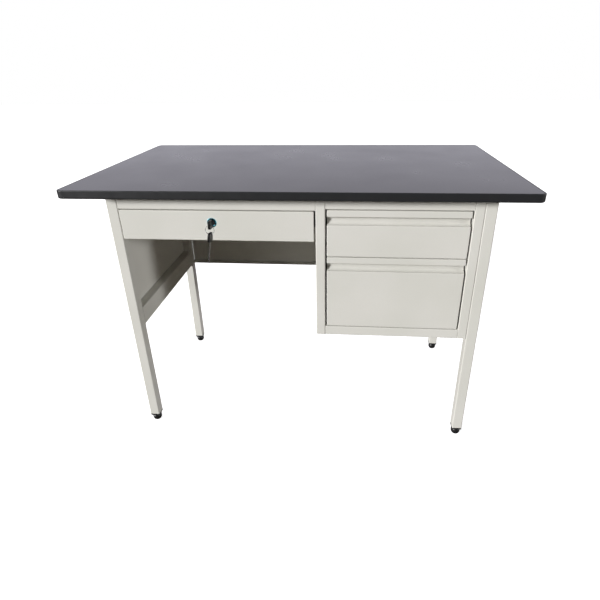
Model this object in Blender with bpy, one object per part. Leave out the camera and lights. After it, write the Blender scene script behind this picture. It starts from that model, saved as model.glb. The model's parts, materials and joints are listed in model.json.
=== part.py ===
"""A steel writing desk: laminate top, square-tube frame, a wide locking drawer and a two-drawer pedestal.

Metres, +Z up. The origin is on the floor under the middle of the top, and the drawers open towards -Y.
Every sheet-metal piece is a section, extruded along X, Y or Z. Neighbouring pieces keep the gap SEAM.
"""

import math

import bmesh
import bpy
from mathutils import Vector

# Overall size
DESK_WIDTH = 1.090
DESK_DEPTH = 0.636
DESK_HEIGHT = 0.750
TOP_THICKNESS = 0.020
BAND_THICKNESS = 0.004
TOP_CORNER_RADIUS = 0.014
BAND_TOP_ROUND = 0.0015
BAND_LOW_ROUND = 0.0035

# Sheet, tube and fit
SEAM = 0.0003
SHEET = 0.0010
FRAME_SHEET = 0.0012
LEG_SIZE = 0.028
LEG_CORNER_RADIUS = 0.0025

# Foot: an end cap's plug, square flange and round foot, whose radius and height run from its top down
FOOT_HEIGHT = 0.027
FOOT_PLUG_LENGTH = 0.018
FOOT_PLUG_LEAD = 0.003
FOOT_FLANGE_BOTTOM = 0.0215
FOOT_DOME = ((0.0130, 0.0208), (0.0128, 0.0130), (0.0112, 0.0060), (0.0085, 0.0015), (0.0065, 0.0))

# Frame: outer half width and half depth over the legs
FRAME_HALF_X = 0.473
FRAME_HALF_Y = 0.239
FRAME_TOP = DESK_HEIGHT - TOP_THICKNESS - SEAM
LEG_INSIDE_X = FRAME_HALF_X - LEG_SIZE
LEG_INSIDE_Y = FRAME_HALF_Y - LEG_SIZE
APRON_BOTTOM = 0.684
SIDE_RAIL_BOTTOM = 0.3375
SIDE_RAIL_TOP = 0.3895
SIDE_PANEL_RECESS = 0.002
SIDE_PANEL_FLANGE = 0.010
TOP_RAIL_BOTTOM = 0.635
MODESTY_BOTTOM = 0.3455
MODESTY_RECESS = 0.001
REAR_RAIL_HEIGHT = 0.030
REAR_RAIL_RECESS = 0.0025

# Pedestal and its face frame
PEDESTAL_LEFT = 0.0475
PEDESTAL_RIGHT = LEG_INSIDE_X - SEAM
PEDESTAL_BOTTOM = 0.338
PEDESTAL_BACK_Y = 0.2095
STILE_WIDTH = 0.0235
FACE_DEPTH = 0.020
OPENING_TOP = 0.6883
OPENING_BOTTOM = 0.364

# Drawer fronts: a double wall as deep as FRONT_DEPTH, flush with the legs
FRONT_Y = -FRAME_HALF_Y
FRONT_DEPTH = 0.018
FRONT_GAP = 0.002
WIDE_FRONT_LEFT = -0.4440
WIDE_FRONT_RIGHT = 0.0434
WIDE_FRONT_TOP = 0.6818
WIDE_FRONT_BOTTOM = 0.605
PEDESTAL_FRONT_LEFT = 0.0752
PEDESTAL_FRONT_RIGHT = 0.4174
UPPER_FRONT_BOTTOM = 0.5666
LIP_HEIGHT = 0.0168
CHANNEL_HEIGHT = 0.0208
CHANNEL_DEPTH = 0.013
CHANNEL_WALL = 0.010
DRAIN_SLOT = Vector((0.030, 0.006))
DRAIN_SLOT_FROM_END = 0.050

# Drawer bodies
HEM_HEIGHT = 0.008
HEM_THICKNESS = 0.0022
SLIDE_WIDTH = 0.0117
SLIDE_HEIGHT = 0.020
SLIDE_SETBACK = 0.004
RUNNER_HEIGHT = 0.027
RUNNER_TO_BODY = 0.003
WIDE_RUNNER_SETBACK = 0.022
WIDE_BODY_GAP = 0.015
WIDE_BODY_BOTTOM = 0.612
WIDE_BODY_TOP = 0.672
WIDE_BODY_BACK_Y = 0.150
WIDE_SLIDE_Z = 0.650
PEDESTAL_BODY_LEFT = 0.0841
PEDESTAL_BODY_RIGHT = 0.4085
PEDESTAL_BODY_RISE = 0.008
PEDESTAL_BODY_BACK_Y = 0.180
UPPER_BODY_TOP = 0.664
UPPER_SLIDE_Z = 0.602
LOWER_BODY_TOP = 0.545
LOWER_SLIDE_Z = 0.410

# Lock, at its centre on the wide drawer's front
LOCK_X = -0.209
LOCK_Z = 0.652
LOCK_FACE_RADIUS = 0.012
LOCK_BODY_RADIUS = 0.0095
LOCK_BORE_RADIUS = 0.0078
PLUG_RADIUS = 0.0075
LOCK_PROUD = 0.0030
LOCK_FACE_BEVEL = 0.0010
LOCK_BODY_END_Y = -0.2125
PLUG_RECESS = 0.0004
CAM_GAP = 0.0025
CAM_LENGTH = 0.042
CAM_WIDTH = 0.012
CAM_THICKNESS = 0.0020
KEY_HEAD_WIDTH = 0.021
KEY_HEAD_LENGTH = 0.025
KEY_HEAD_THICKNESS = 0.0060
KEY_HEAD_RADIUS = 0.007
KEY_HOLE_RADIUS = 0.0025
KEY_HOLE_FROM_END = 0.0045
KEY_HEAD_PROUD = 0.0006
KEY_BLADE_WIDTH = 0.0070
KEY_BLADE_THICKNESS = 0.0020
LOCK_BLADE_LENGTH = 0.027
SPARE_BLADE_LENGTH = 0.058
SPARE_LEAN = 9.0
SPARE_TURN = -8.0
RING_RADIUS = 0.011
RING_WIRE_RADIUS = 0.0007

# How far a cutting shape reaches past what it cuts
CLEAR = 0.002

AXES = {"X": Vector((1, 0, 0)), "Y": Vector((0, 1, 0)), "Z": Vector((0, 0, 1))}


def clear_scene():
    for obj in list(bpy.data.objects):
        bpy.data.objects.remove(obj, do_unlink=True)


def material(name, colour, roughness, metallic=0.0):
    made = bpy.data.materials.new(name)
    made.use_nodes = True
    shader = made.node_tree.nodes["Principled BSDF"]
    shader.inputs["Base Color"].default_value = (*colour, 1.0)
    shader.inputs["Roughness"].default_value = roughness
    shader.inputs["Metallic"].default_value = metallic
    made.diffuse_color = (*colour, 1.0)
    return made


def joint_empty(name, location, lean=0.0, turn=0.0):
    """An empty on a joint's axis, which the pieces that move there have as their parent. They are built
    upright and straight, and hang with this lean about Y and turn about Z, in degrees."""
    empty = bpy.data.objects.new(name, None)
    empty.location = location
    empty.rotation_euler = (0.0, math.radians(lean), math.radians(turn))
    empty.empty_display_size = 0.03
    bpy.context.scene.collection.objects.link(empty)
    return empty


def finish(name, bm, finish_material, parent=None, smooth=False):
    """The bmesh, given in world coordinates, as an object with its origin in its middle."""
    bmesh.ops.remove_doubles(bm, verts=bm.verts, dist=1e-6)
    bmesh.ops.recalc_face_normals(bm, faces=bm.faces)
    corners = [vertex.co for vertex in bm.verts]
    low = Vector(min(co[i] for co in corners) for i in range(3))
    high = Vector(max(co[i] for co in corners) for i in range(3))
    middle = (low + high) / 2
    bmesh.ops.translate(bm, verts=bm.verts, vec=-middle)
    mesh = bpy.data.meshes.new(name)
    bm.to_mesh(mesh)
    bm.free()
    if smooth:
        mesh.shade_smooth()
        mesh.set_sharp_from_angle(angle=math.radians(35))
    mesh.materials.append(finish_material)
    obj = bpy.data.objects.new(name, mesh)
    obj.location = middle
    if parent:
        obj.parent = parent
        obj.location = middle - parent.location
    bpy.context.scene.collection.objects.link(obj)
    return obj


def at(axis, along, u, v):
    """The world point at distance along an axis, with u and v on the other two axes in X, Y, Z order."""
    if axis == "X":
        return Vector((along, u, v))
    if axis == "Y":
        return Vector((u, along, v))
    return Vector((u, v, along))


def section(name, outline, axis, start, end, piece_material, parent=None, smooth=False):
    """A closed outline of (u, v) points, extruded along an axis."""
    bm = bmesh.new()
    base = bm.faces.new([bm.verts.new(at(axis, start, u, v)) for u, v in outline])
    grown = bmesh.ops.extrude_face_region(bm, geom=[base])["geom"]
    moved = [item for item in grown if isinstance(item, bmesh.types.BMVert)]
    bmesh.ops.translate(bm, verts=moved, vec=AXES[axis] * (end - start))
    return finish(name, bm, piece_material, parent, smooth)


def plate(name, low, high, piece_material, parent=None):
    """A flat box between two opposite corners."""
    outline = [(low[0], low[1]), (high[0], low[1]), (high[0], high[1]), (low[0], high[1])]
    return section(name, outline, "Z", low[2], high[2], piece_material, parent)


def loft(name, rings, piece_material, parent=None, closed=False):
    """Rings of equally many points, joined in order: capped at both ends, or closed into a loop."""
    bm = bmesh.new()
    loops = [[bm.verts.new(point) for point in ring] for ring in rings]
    count = len(loops[0])
    pairs = list(zip(loops, loops[1:]))
    if closed:
        pairs.append((loops[-1], loops[0]))
    for first, second in pairs:
        for i in range(count):
            j = (i + 1) % count
            bm.faces.new((first[i], first[j], second[j], second[i]))
    if not closed:
        bm.faces.new(loops[0])
        bm.faces.new(loops[-1])
    return finish(name, bm, piece_material, parent, smooth=True)


def arc(centre, radius, start, end, steps):
    """Points on a circular arc from one angle to another, in degrees, both ends included."""
    angles = [math.radians(start + (end - start) * i / steps) for i in range(steps + 1)]
    return [(centre[0] + radius * math.cos(a), centre[1] + radius * math.sin(a)) for a in angles]


def rounded_rectangle(half_u, half_v, radius, steps=3, centre=(0, 0)):
    """The outline of a rectangle with rounded corners, anticlockwise."""
    points = []
    for quarter, (su, sv) in enumerate(((1, 1), (-1, 1), (-1, -1), (1, -1))):
        corner = (centre[0] + su * (half_u - radius), centre[1] + sv * (half_v - radius))
        points += arc(corner, radius, 90 * quarter, 90 * quarter + 90, steps)
    return points


def offset_corner(before, corner, after, distance):
    """The corner of a path moved to the path's left by a distance, along the mitre."""
    first = (Vector(corner) - Vector(before)).normalized()
    second = (Vector(after) - Vector(corner)).normalized()
    normal = Vector((-first.y - second.y, first.x + second.x)).normalized()
    stretch = 1 / max(normal.dot(Vector((-first.y, first.x))), 0.2)
    return tuple(Vector(corner) + normal * distance * stretch)


def strip(path, thickness):
    """The outline of a sheet folded along an open path, its thickness laid to the path's left."""
    inner = []
    for i, point in enumerate(path):
        if i == 0:
            before = 2 * Vector(point) - Vector(path[1])
        else:
            before = path[i - 1]
        if i == len(path) - 1:
            after = 2 * Vector(point) - Vector(path[-2])
        else:
            after = path[i + 1]
        inner.append(offset_corner(before, point, after, thickness))
    return list(path) + inner[::-1]


def inset(outline, distance):
    """An anticlockwise outline moved inwards."""
    count = len(outline)
    return [
        offset_corner(outline[i - 1], outline[i], outline[(i + 1) % count], distance)
        for i in range(count)
    ]


def channel(name, box, axis, open_side, thickness, piece_material, parent=None):
    """A C section of folded sheet in box = ((u0, v0), (u1, v1), start, end), open on one side of u."""
    (u0, v0), (u1, v1), start, end = box
    if open_side < 0:
        path = [(u0, v0), (u1, v0), (u1, v1), (u0, v1)]
    else:
        path = [(u1, v1), (u0, v1), (u0, v0), (u1, v0)]
    return section(name, strip(path, thickness), axis, start, end, piece_material, parent)


def tube(name, centre, half_u, half_v, radius, axis, start, end, piece_material):
    """A rectangular steel tube, open at both ends."""
    wall = FRAME_SHEET
    outer = rounded_rectangle(half_u, half_v, radius, centre=centre)
    inner = rounded_rectangle(half_u - wall, half_v - wall, radius - wall, centre=centre)
    rings = [
        [at(axis, along, u, v) for u, v in outline]
        for outline, along in ((outer, start), (outer, end), (inner, end), (inner, start))
    ]
    return loft(name, rings, piece_material, closed=True)


def cutter(name, obj):
    """Marks an object as a cutting shape, which isn't itself a piece."""
    obj.name = name
    obj.hide_render = True
    obj.display_type = "WIRE"
    return obj


def boolean(obj, operation, other):
    modifier = obj.modifiers.new(other.name, "BOOLEAN")
    modifier.operation = operation
    modifier.solver = "EXACT"
    modifier.object = other


def rod(name, centre, radius, start_y, end_y, sides, piece_material, parent=None):
    """A round bar along Y."""
    outline = arc(centre, radius, 0, 360, sides)[:-1]
    return section(name, outline, "Y", start_y, end_y, piece_material, parent, smooth=True)


def build_top(laminate, band_plastic):
    """The board, and the moulding that runs round its edge with a rounded outer face."""
    half_x = DESK_WIDTH / 2
    half_y = DESK_DEPTH / 2
    bottom = DESK_HEIGHT - TOP_THICKNESS
    margin = BAND_THICKNESS + SEAM
    board = rounded_rectangle(
        half_x - margin, half_y - margin, TOP_CORNER_RADIUS - margin, steps=6
    )
    section("desktop", board, "Z", bottom, DESK_HEIGHT, laminate)
    profile = [(0.0, bottom), (0.0, DESK_HEIGHT)]
    reach = BAND_THICKNESS - BAND_TOP_ROUND
    profile += arc((reach, DESK_HEIGHT - BAND_TOP_ROUND), BAND_TOP_ROUND, 90, 0, 3)
    reach = BAND_THICKNESS - BAND_LOW_ROUND
    profile += arc((reach, bottom + BAND_LOW_ROUND), BAND_LOW_ROUND, 0, -90, 4)
    rings = []
    for out, height in profile:
        edge = BAND_THICKNESS - out
        radius = TOP_CORNER_RADIUS - edge
        outline = rounded_rectangle(half_x - edge, half_y - edge, radius, steps=6)
        rings.append([Vector((x, y, height)) for x, y in outline])
    loft("edge_band", rings, band_plastic, closed=True)


def build_foot(name, x, y, plastic):
    """An end cap: a plug inside the tube, a square flange under it, and a round foot."""
    plug = LEG_SIZE / 2 - FRAME_SHEET - SEAM
    plug_radius = FRAME_SHEET
    plug_top = FOOT_HEIGHT + FOOT_PLUG_LENGTH
    flange = LEG_SIZE / 2
    sections = [
        (plug - FRAME_SHEET, plug_radius, plug_top),
        (plug, plug_radius, plug_top - FOOT_PLUG_LEAD),
        (plug, plug_radius, FOOT_HEIGHT - SEAM),
        (flange, LEG_CORNER_RADIUS, FOOT_HEIGHT - SEAM),
        (flange, LEG_CORNER_RADIUS, FOOT_FLANGE_BOTTOM),
    ]
    sections += [(radius, 0.999 * radius, z) for radius, z in FOOT_DOME]
    rings = []
    for half, radius, z in sections:
        outline = rounded_rectangle(half, half, radius, steps=5, centre=(x, y))
        rings.append([Vector((u, v, z)) for u, v in outline])
    loft(name, rings, plastic)


def build_legs(paint, plastic):
    middle_x = FRAME_HALF_X - LEG_SIZE / 2
    middle_y = FRAME_HALF_Y - LEG_SIZE / 2
    half = LEG_SIZE / 2
    for end, side_y in (("front", -1), ("rear", 1)):
        for side, side_x in (("left", -1), ("right", 1)):
            centre = (side_x * middle_x, side_y * middle_y)
            tube(
                f"leg_{end}_{side}", centre, half, half, LEG_CORNER_RADIUS,
                "Z", FOOT_HEIGHT, FRAME_TOP, paint,
            )
            build_foot(f"foot_{end}_{side}", *centre, plastic)


def build_rails(paint):
    """The apron over the wide drawer, and the rails that tie the legs together."""
    reach_y = LEG_INSIDE_Y - SEAM
    apron = ((FRONT_Y, APRON_BOTTOM), (-LEG_INSIDE_Y, FRAME_TOP))
    left_end = -LEG_INSIDE_X + SEAM
    channel(
        "front_apron_rail", (*apron, left_end, PEDESTAL_LEFT - SEAM), "X", 1, FRAME_SHEET, paint
    )
    rear_y0 = LEG_INSIDE_Y
    rear_y1 = FRAME_HALF_Y - REAR_RAIL_RECESS
    tube(
        "rear_top_rail",
        ((rear_y0 + rear_y1) / 2, FRAME_TOP - REAR_RAIL_HEIGHT / 2),
        (rear_y1 - rear_y0) / 2, REAR_RAIL_HEIGHT / 2, LEG_CORNER_RADIUS,
        "X", -LEG_INSIDE_X + SEAM, LEG_INSIDE_X - SEAM, paint,
    )
    panel_face = FRAME_HALF_X - SIDE_PANEL_RECESS - SHEET
    rail_top = FRAME_TOP - SHEET - SEAM
    for side, sign in (("left", -1), ("right", 1)):
        inner = sign * LEG_INSIDE_X
        outer = sign * (panel_face - SEAM)
        low = (min(inner, outer), TOP_RAIL_BOTTOM)
        high = (max(inner, outer), rail_top)
        channel(
            f"{side}_top_rail", (low, high, -reach_y, reach_y), "Y", sign, FRAME_SHEET, paint
        )
        tube(
            f"{side}_lower_rail",
            (sign * (FRAME_HALF_X - LEG_SIZE / 2), (SIDE_RAIL_BOTTOM + SIDE_RAIL_TOP) / 2),
            LEG_SIZE / 2, (SIDE_RAIL_TOP - SIDE_RAIL_BOTTOM) / 2, LEG_CORNER_RADIUS,
            "Y", -reach_y, reach_y, paint,
        )


def build_panels(paint):
    """The side panels, folded inwards at top and bottom, and the modesty panel with its flange."""
    reach_y = LEG_INSIDE_Y - SEAM
    for side, sign in (("left", -1), ("right", 1)):
        outer = sign * (FRAME_HALF_X - SIDE_PANEL_RECESS)
        inner = outer - sign * SIDE_PANEL_FLANGE
        low = (min(inner, outer), SIDE_RAIL_TOP + SEAM)
        high = (max(inner, outer), FRAME_TOP)
        channel(
            f"{side}_side_panel", (low, high, -reach_y, reach_y), "Y", -sign, SHEET, paint
        )
    back = FRAME_HALF_Y - MODESTY_RECESS
    path = [(LEG_INSIDE_Y, MODESTY_BOTTOM), (back, MODESTY_BOTTOM), (back, FRAME_TOP)]
    reach_x = LEG_INSIDE_X - SEAM
    section("modesty_panel", strip(path, SHEET), "X", -reach_x, reach_x, paint)


def build_pedestal(paint):
    """A box of plain sheets behind a face frame of folded stiles and rails."""
    face_back = FRONT_Y + FACE_DEPTH
    body_front = face_back + SEAM
    left = PEDESTAL_LEFT
    right = PEDESTAL_RIGHT
    for side, x0 in (("left", left), ("right", right - STILE_WIDTH)):
        path = [
            (x0, face_back), (x0, FRONT_Y), (x0 + STILE_WIDTH, FRONT_Y), (x0 + STILE_WIDTH, face_back)
        ]
        section(
            f"pedestal_{side}_stile", strip(path, FRAME_SHEET), "Z", PEDESTAL_BOTTOM, FRAME_TOP, paint
        )
    rail_left = left + STILE_WIDTH + SEAM
    rail_right = right - STILE_WIDTH - SEAM
    for name, z0, z1 in (
        ("pedestal_top_rail", OPENING_TOP, FRAME_TOP),
        ("pedestal_bottom_rail", PEDESTAL_BOTTOM, OPENING_BOTTOM),
    ):
        box = ((FRONT_Y, z0), (face_back, z1), rail_left, rail_right)
        channel(name, box, "X", 1, FRAME_SHEET, paint)
    back = PEDESTAL_BACK_Y
    for side, x0 in (("left", left), ("right", right - SHEET)):
        low = (x0, body_front, PEDESTAL_BOTTOM)
        plate(f"pedestal_{side}_side", low, (x0 + SHEET, back, FRAME_TOP), paint)
    inner_left = left + SHEET + SEAM
    inner_right = right - SHEET - SEAM
    plate(
        "pedestal_back",
        (inner_left, back - SHEET, PEDESTAL_BOTTOM + SHEET + SEAM),
        (inner_right, back, FRAME_TOP), paint,
    )
    plate(
        "pedestal_bottom",
        (inner_left, body_front, PEDESTAL_BOTTOM),
        (inner_right, back, PEDESTAL_BOTTOM + SHEET), paint,
    )


def plain_front_outline(bottom, top):
    """A drawer front's section in Y and Z, anticlockwise."""
    back = FRONT_Y + FRONT_DEPTH
    return [(FRONT_Y, bottom), (back, bottom), (back, top), (FRONT_Y, top)]


def pull_front_outline(bottom, top):
    """The same with the pull: a lip at the top, and under it a channel that sweeps out to the face."""
    back = FRONT_Y + FRONT_DEPTH
    deep = FRONT_Y + CHANNEL_DEPTH
    lip = top - LIP_HEIGHT
    floor = lip - CHANNEL_HEIGHT
    outline = [(FRONT_Y, bottom), (back, bottom), (back, top), (FRONT_Y, top)]
    outline += [(FRONT_Y, lip), (deep, lip)]
    sweep = CHANNEL_HEIGHT - CHANNEL_WALL
    for i in range(7):
        angle = math.radians(90 * i / 6)
        along = CHANNEL_DEPTH * (1 - math.cos(angle))
        outline.append((deep - along, floor + sweep * (1 - math.sin(angle))))
    return outline


def build_front(name, outline, left, right, paint, parent):
    """A hollow double-walled front, its hollow open to the outside through slots in its lower edge."""
    front = section(name, outline, "X", left, right, paint, parent)
    hollow = section(
        f"cut_{name}_hollow", inset(outline, SHEET), "X", left + SHEET, right - SHEET, paint, parent
    )
    boolean(front, "DIFFERENCE", cutter(hollow.name, hollow))
    bottom = min(z for _, z in outline)
    middle = FRONT_Y + FRONT_DEPTH / 2
    for side, x in (("left", left + DRAIN_SLOT_FROM_END), ("right", right - DRAIN_SLOT_FROM_END)):
        low = (x - DRAIN_SLOT.x / 2, middle - DRAIN_SLOT.y / 2, bottom - CLEAR)
        high = (x + DRAIN_SLOT.x / 2, middle + DRAIN_SLOT.y / 2, bottom + CLEAR)
        slot = plate(f"cut_{name}_{side}_slot", low, high, paint, parent)
        boolean(front, "DIFFERENCE", cutter(slot.name, slot))
    return front


def build_drawer_body(name, left, right, bottom, top, back, slide_z, paint, zinc, parent):
    """Sides and back with a hemmed upper edge, a bottom sheet, and a slide member on each side."""
    front = FRONT_Y + FRONT_DEPTH + SEAM
    hem = top - HEM_HEIGHT
    for side, x, sign in (("left", left, 1), ("right", right, -1)):
        thick = x + sign * HEM_THICKNESS
        thin = x + sign * SHEET
        outline = [(x, bottom), (thin, bottom), (thin, hem), (thick, hem), (thick, top), (x, top)]
        section(f"{name}_{side}_side", outline, "Y", front, back, paint, parent)
        tip = x - sign * SLIDE_WIDTH
        web = x - sign * SEAM
        box = (
            (min(tip, web), slide_z - SLIDE_HEIGHT / 2),
            (max(tip, web), slide_z + SLIDE_HEIGHT / 2), front + SLIDE_SETBACK, back,
        )
        channel(f"{name}_{side}_slide", box, "Y", -sign, FRAME_SHEET, zinc, parent)
    inner_left = left + SHEET + SEAM
    inner_right = right - SHEET - SEAM
    plate(
        f"{name}_bottom", (inner_left, front, bottom), (inner_right, back, bottom + SHEET), paint, parent
    )
    inner_left = left + HEM_THICKNESS + SEAM
    inner_right = right - HEM_THICKNESS - SEAM
    y0 = back - SHEET
    y1 = back - HEM_THICKNESS
    outline = [(y0, hem), (y0, bottom + SHEET + SEAM), (back, bottom + SHEET + SEAM)]
    outline += [(back, top), (y1, top), (y1, hem)]
    section(f"{name}_back", outline, "X", inner_left, inner_right, paint, parent)


def build_runners(name, left_wall, left_tip, right_wall, right_tip, slide_z, y0, y1, zinc):
    """The two fixed channels that a drawer's slide members run in."""
    for side, wall, tip in (("left", left_wall, left_tip), ("right", right_wall, right_tip)):
        sign = 1 if tip > wall else -1
        web = wall + sign * SEAM
        box = (
            (min(web, tip), slide_z - RUNNER_HEIGHT / 2),
            (max(web, tip), slide_z + RUNNER_HEIGHT / 2), y0, y1,
        )
        channel(f"{name}_{side}_runner", box, "Y", sign, FRAME_SHEET, zinc)


def build_wide_drawer(paint, zinc, parent):
    outline = plain_front_outline(WIDE_FRONT_BOTTOM, WIDE_FRONT_TOP)
    front = build_front(
        "wide_drawer_front", outline, WIDE_FRONT_LEFT, WIDE_FRONT_RIGHT, paint, parent
    )
    hole = rod(
        "cut_lock_hole", (LOCK_X, LOCK_Z), LOCK_BODY_RADIUS + SEAM,
        FRONT_Y - CLEAR, FRONT_Y + FRONT_DEPTH + CLEAR, 32, paint, parent,
    )
    boolean(front, "DIFFERENCE", cutter(hole.name, hole))
    left_wall = -LEG_INSIDE_X
    right_wall = PEDESTAL_LEFT
    left = left_wall + WIDE_BODY_GAP
    right = right_wall - WIDE_BODY_GAP
    build_drawer_body(
        "wide_drawer", left, right, WIDE_BODY_BOTTOM, WIDE_BODY_TOP, WIDE_BODY_BACK_Y,
        WIDE_SLIDE_Z, paint, zinc, parent,
    )
    build_runners(
        "wide_drawer", left_wall, left - RUNNER_TO_BODY, right_wall, right + RUNNER_TO_BODY,
        WIDE_SLIDE_Z, FRONT_Y + WIDE_RUNNER_SETBACK, WIDE_BODY_BACK_Y, zinc,
    )


def build_pedestal_drawer(name, bottom, top, body_top, slide_z, paint, zinc, parent):
    outline = pull_front_outline(bottom, top)
    build_front(
        f"{name}_front", outline, PEDESTAL_FRONT_LEFT, PEDESTAL_FRONT_RIGHT, paint, parent
    )
    left = PEDESTAL_BODY_LEFT
    right = PEDESTAL_BODY_RIGHT
    build_drawer_body(
        name, left, right, bottom + PEDESTAL_BODY_RISE, body_top, PEDESTAL_BODY_BACK_Y,
        slide_z, paint, zinc, parent,
    )
    build_runners(
        name, PEDESTAL_LEFT + SHEET, left - RUNNER_TO_BODY,
        PEDESTAL_RIGHT - SHEET, right + RUNNER_TO_BODY,
        slide_z, FRONT_Y + FACE_DEPTH + SEAM, PEDESTAL_BODY_BACK_Y, zinc,
    )


def key_head(size_u, size_v, u, v):
    """A key head's outline, centred at (u, v)."""
    return rounded_rectangle(size_u / 2, size_v / 2, KEY_HEAD_RADIUS, steps=5, centre=(u, v))


def build_key(name, head_outline, hole_centre, blade_box, plastic, parent):
    """A flat key with a thick plastic head, its ring hole through the head along X, and its blade."""
    half = KEY_HEAD_THICKNESS / 2
    x0 = LOCK_X - half
    x1 = LOCK_X + half
    key = section(name, head_outline, "X", x0, x1, plastic, parent, smooth=True)
    blade = plate(f"cut_{name}_blade", *blade_box, plastic, parent)
    boolean(key, "UNION", cutter(blade.name, blade))
    hole_outline = arc(hole_centre, KEY_HOLE_RADIUS, 0, 360, 20)[:-1]
    hole = section(f"cut_{name}_hole", hole_outline, "X", x0 - CLEAR, x1 + CLEAR, plastic, parent)
    boolean(key, "DIFFERENCE", cutter(hole.name, hole))


def build_lock(chrome, plastic, steel, drawer, barrel):
    """Housing fixed in the drawer front; plug, cam and key turn in it about an axis along Y."""
    face = FRONT_Y - LOCK_PROUD
    centre = (LOCK_X, LOCK_Z)
    profile = [
        (LOCK_BORE_RADIUS, LOCK_BODY_END_Y), (LOCK_BODY_RADIUS, LOCK_BODY_END_Y),
        (LOCK_BODY_RADIUS, FRONT_Y - SEAM), (LOCK_FACE_RADIUS, FRONT_Y - SEAM),
        (LOCK_FACE_RADIUS, face + LOCK_FACE_BEVEL), (LOCK_FACE_RADIUS - LOCK_FACE_BEVEL, face),
        (LOCK_BORE_RADIUS, face),
    ]
    rings = []
    for radius, y in profile:
        circle = arc(centre, radius, 0, 360, 32)[:-1]
        rings.append([Vector((x, y, z)) for x, z in circle])
    loft("lock_housing", rings, chrome, drawer, closed=True)
    cam_front = LOCK_BODY_END_Y + CAM_GAP
    plug = rod(
        "lock_plug", centre, PLUG_RADIUS, face + PLUG_RECESS, cam_front - SEAM, 32, plastic, barrel
    )
    head_end = face - KEY_HEAD_PROUD
    blade_end = head_end + LOCK_BLADE_LENGTH
    half_x = KEY_BLADE_THICKNESS / 2
    half_z = KEY_BLADE_WIDTH / 2
    slot = plate(
        "cut_key_slot",
        (LOCK_X - half_x - SEAM, face - CLEAR, LOCK_Z - half_z - SEAM),
        (LOCK_X + half_x + SEAM, blade_end + SEAM, LOCK_Z + half_z + SEAM), plastic, barrel,
    )
    boolean(plug, "DIFFERENCE", cutter(slot.name, slot))
    half = CAM_WIDTH / 2
    tip = LOCK_X - CAM_LENGTH
    cam = arc((tip + half, LOCK_Z), half, 90, 270, 8)
    cam += arc((LOCK_X, LOCK_Z), half, -90, 90, 8)
    section("lock_cam", cam, "Y", cam_front, cam_front + CAM_THICKNESS, steel, barrel)
    middle_y = head_end - KEY_HEAD_LENGTH / 2
    hole_y = head_end - KEY_HEAD_LENGTH + KEY_HOLE_FROM_END
    outline = key_head(KEY_HEAD_LENGTH, KEY_HEAD_WIDTH, middle_y, LOCK_Z)
    blade = (
        (LOCK_X - half_x, middle_y, LOCK_Z - half_z), (LOCK_X + half_x, blade_end, LOCK_Z + half_z)
    )
    build_key("lock_key", outline, (hole_y, LOCK_Z), blade, plastic, barrel)
    return hole_y


def build_keys_on_ring(steel, plastic, ring_parent, spare_parent, hole_y):
    """The wire ring through the key's hole, and the spare key that hangs on it."""
    rings = []
    for i in range(32):
        turn = math.radians(360 * i / 32)
        out = Vector((math.sin(turn), 0, math.cos(turn)))
        middle = Vector((LOCK_X, hole_y, LOCK_Z - RING_RADIUS)) + out * RING_RADIUS
        wire = arc((0, 0), RING_WIRE_RADIUS, 0, 360, 8)[:-1]
        rings.append([middle + out * u + AXES["Y"] * v for u, v in wire])
    loft("key_ring", rings, steel, ring_parent, closed=True)
    hole_z = LOCK_Z - 2 * RING_RADIUS
    top = hole_z + KEY_HOLE_FROM_END
    middle_z = top - KEY_HEAD_LENGTH / 2
    outline = key_head(KEY_HEAD_WIDTH, KEY_HEAD_LENGTH, hole_y, middle_z)
    half_x = KEY_BLADE_THICKNESS / 2
    half_y = KEY_BLADE_WIDTH / 2
    blade = (
        (LOCK_X - half_x, hole_y - half_y, top - KEY_HEAD_LENGTH - SPARE_BLADE_LENGTH),
        (LOCK_X + half_x, hole_y + half_y, middle_z),
    )
    build_key("spare_key", outline, (hole_y, hole_z), blade, plastic, spare_parent)


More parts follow.
